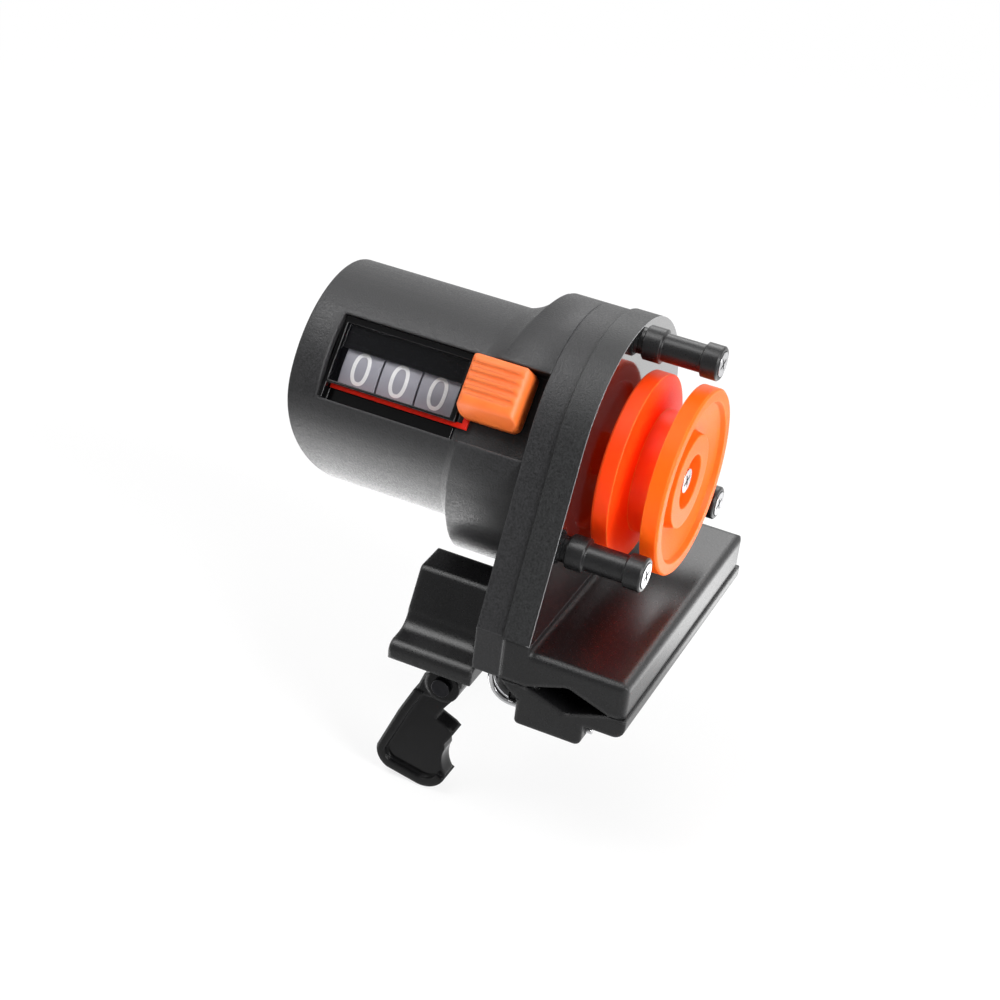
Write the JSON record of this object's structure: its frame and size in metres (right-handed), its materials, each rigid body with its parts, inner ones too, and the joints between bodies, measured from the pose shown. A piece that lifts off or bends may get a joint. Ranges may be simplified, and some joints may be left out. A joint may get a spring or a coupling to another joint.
{
  "type": "fishing_line_counter",
  "caption": "Clamp-on mechanical fishing line counter with an orange measuring wheel, a black counter pod with a number window and a lever clamp for the rod",
  "frame": {"origin": "on the axis of the rod, at the middle of the clamp's length", "axes": "+Y along the rod, +Z from the rod up to the measuring wheel, +X from the counter pod to the measuring wheel"},
  "size_m": [0.0882, 0.0714, 0.1011],
  "materials": {
    "case_plastic": "finely textured black ABS",
    "base_plastic": "smooth satin black ABS",
    "bezel_plastic": "glossy black",
    "lens_plastic": "clear polished acrylic",
    "post_plastic": "satin black nylon",
    "screw_steel": "bright zinc plated steel",
    "shaft_steel": "ground steel",
    "bush_brass": "turned brass",
    "gear_plastic": "natural acetal",
    "wheel_plastic": "satin orange red ABS",
    "drum_plastic": "pale grey, printed with white figures",
    "button_plastic": "satin orange ABS",
    "bar_plastic": "red",
    "lever_plastic": "glossy black nylon",
    "spring_chrome": "bright plated wire"
  },
  "bodies": {
    "frame": {"rear_housing": "case_plastic", "gear_case": "case_plastic", "front_cover": "case_plastic", "clamp_block": "base_plastic", "lever_bracket": "base_plastic", "window_bezel": "bezel_plastic", "window_lens": "lens_plastic", "guide_posts": "post_plastic", "post_screws": "screw_steel", "case_screws": "screw_steel", "base_screws": "screw_steel", "wheel_bush": "bush_brass", "first_arbor": "shaft_steel", "second_arbor": "shaft_steel", "counter_shaft": "shaft_steel", "transfer_plates": "gear_plastic", "hinge_pin": "shaft_steel", "lever_pin": "post_plastic"},
    "wheel": {"line_wheel": "wheel_plastic", "wheel_shaft": "shaft_steel", "wheel_screw": "screw_steel", "drive_pinion": "gear_plastic"},
    "first_reduction": {"first_gear": "gear_plastic"},
    "second_reduction": {"second_gear": "gear_plastic"},
    "units": {"counter_gear": "gear_plastic", "units_drum": "drum_plastic"},
    "tens": {"tens_drum": "drum_plastic"},
    "hundreds": {"hundreds_drum": "drum_plastic"},
    "tens_carry": {"tens_pinion": "gear_plastic"},
    "hundreds_carry": {"hundreds_pinion": "gear_plastic"},
    "reset": {"reset_button": "button_plastic", "reset_bar": "bar_plastic"},
    "lever": {"cam_lever": "lever_plastic"},
    "jaw": {"lower_jaw": "base_plastic", "jaw_spring": "spring_chrome"}
  },
  "joints": [
    {"name": "wheel_spin", "type": "hinge", "parent": "frame", "child": "wheel", "pos_m": [0, 0.003, 0.0354], "axis": [1, 0, 0], "continuous": true},
    {"name": "first_spin", "type": "hinge", "parent": "frame", "child": "first_reduction", "pos_m": [-0.013, 0.01258, 0.04343], "axis": [1, 0, 0], "continuous": true},
    {"name": "second_spin", "type": "hinge", "parent": "frame", "child": "second_reduction", "pos_m": [-0.016, 0.01972, 0.03025], "axis": [1, 0, 0], "continuous": true},
    {"name": "units_spin", "type": "hinge", "parent": "frame", "child": "units", "pos_m": [-0.0444, 0.003, 0.0354], "axis": [1, 0, 0], "continuous": true},
    {"name": "tens_spin", "type": "hinge", "parent": "frame", "child": "tens", "pos_m": [-0.05325, 0.003, 0.0354], "axis": [1, 0, 0], "continuous": true},
    {"name": "hundreds_spin", "type": "hinge", "parent": "frame", "child": "hundreds", "pos_m": [-0.0621, 0.003, 0.0354], "axis": [1, 0, 0], "continuous": true},
    {"name": "tens_carry_spin", "type": "hinge", "parent": "frame", "child": "tens_carry", "pos_m": [-0.05, 0.0128, 0.0354], "axis": [1, 0, 0], "continuous": true},
    {"name": "hundreds_carry_spin", "type": "hinge", "parent": "frame", "child": "hundreds_carry", "pos_m": [-0.059, 0.0128, 0.0354], "axis": [1, 0, 0], "continuous": true},
    {"name": "reset_slide", "type": "slide", "parent": "frame", "child": "reset", "axis": [0, -0.6225, -0.7826], "range_m": [0, 0.0026], "stiffness_N_per_m": 400},
    {"name": "lever_swing", "type": "hinge", "parent": "frame", "child": "lever", "pos_m": [-0.0283, -0.0255, -0.0095], "axis": [0, 1, 0], "range_deg": [0, 55]},
    {"name": "jaw_swing", "type": "hinge", "parent": "frame", "child": "jaw", "pos_m": [-0.0129, 0, -0.0021], "axis": [0, 1, 0], "range_deg": [0, 9.6], "stiffness_Nm_per_rad": 0.4, "springref_deg": -11.46}
  ],
  "couplings": [
    {"joint": "first_spin", "follows": "wheel_spin", "ratio": -0.25},
    {"joint": "second_spin", "follows": "wheel_spin", "ratio": 0.05},
    {"joint": "units_spin", "follows": "wheel_spin", "ratio": -0.0083333},
    {"joint": "tens_spin", "follows": "wheel_spin", "ratio": -0.00083333},
    {"joint": "hundreds_spin", "follows": "wheel_spin", "ratio": -0.000083333},
    {"joint": "tens_carry_spin", "follows": "wheel_spin", "ratio": -0.0027778},
    {"joint": "hundreds_carry_spin", "follows": "wheel_spin", "ratio": -0.00027778},
    {"joint": "jaw_swing", "follows": "lever_swing", "ratio": 0.1727}
  ]
}
